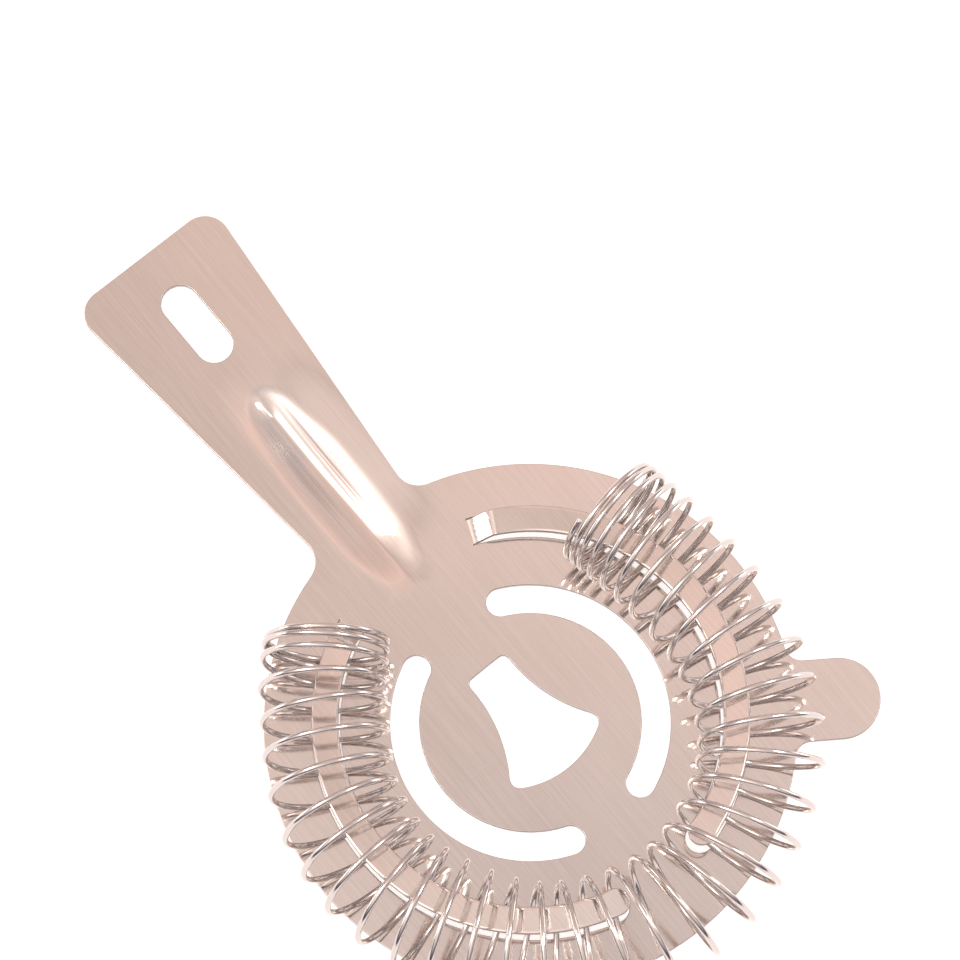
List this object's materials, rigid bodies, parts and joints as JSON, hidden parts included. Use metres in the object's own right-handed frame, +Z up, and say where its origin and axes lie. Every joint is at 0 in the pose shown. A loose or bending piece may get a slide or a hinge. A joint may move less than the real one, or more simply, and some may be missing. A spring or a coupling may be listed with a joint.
{
  "type": "hawthorne strainer",
  "caption": "Cocktail strainer stamped from one steel sheet, with a long coil spring threaded over two lanced tongues, ears that sit on a glass rim and a slotted handle.",
  "frame": {"origin": "middle of the object's outer box, on the plane that the keel of the pressed rib rests on, 2.8 mm below the flat back of the sheet", "axes": "+X along the handle from the disc towards the hanging slot, +Z up out of the side that carries the spring, +Y across"},
  "size_m": [0.1642, 0.1042, 0.0265],
  "materials": {
    "steel_sheet": null,
    "spring_wire": "bright drawn stainless spring wire"
  },
  "bodies": {
    "plate": {"strainer_plate": "steel_sheet"},
    "spring": {"coil_spring": "spring_wire"}
  },
  "joints": [
    {"name": "spring_slides_round", "type": "hinge", "parent": "plate", "child": "spring", "pos_m": [-0.029, 0, 0.0153], "axis": [0, 0, 1], "range_deg": [-3, 24]}
  ]
}
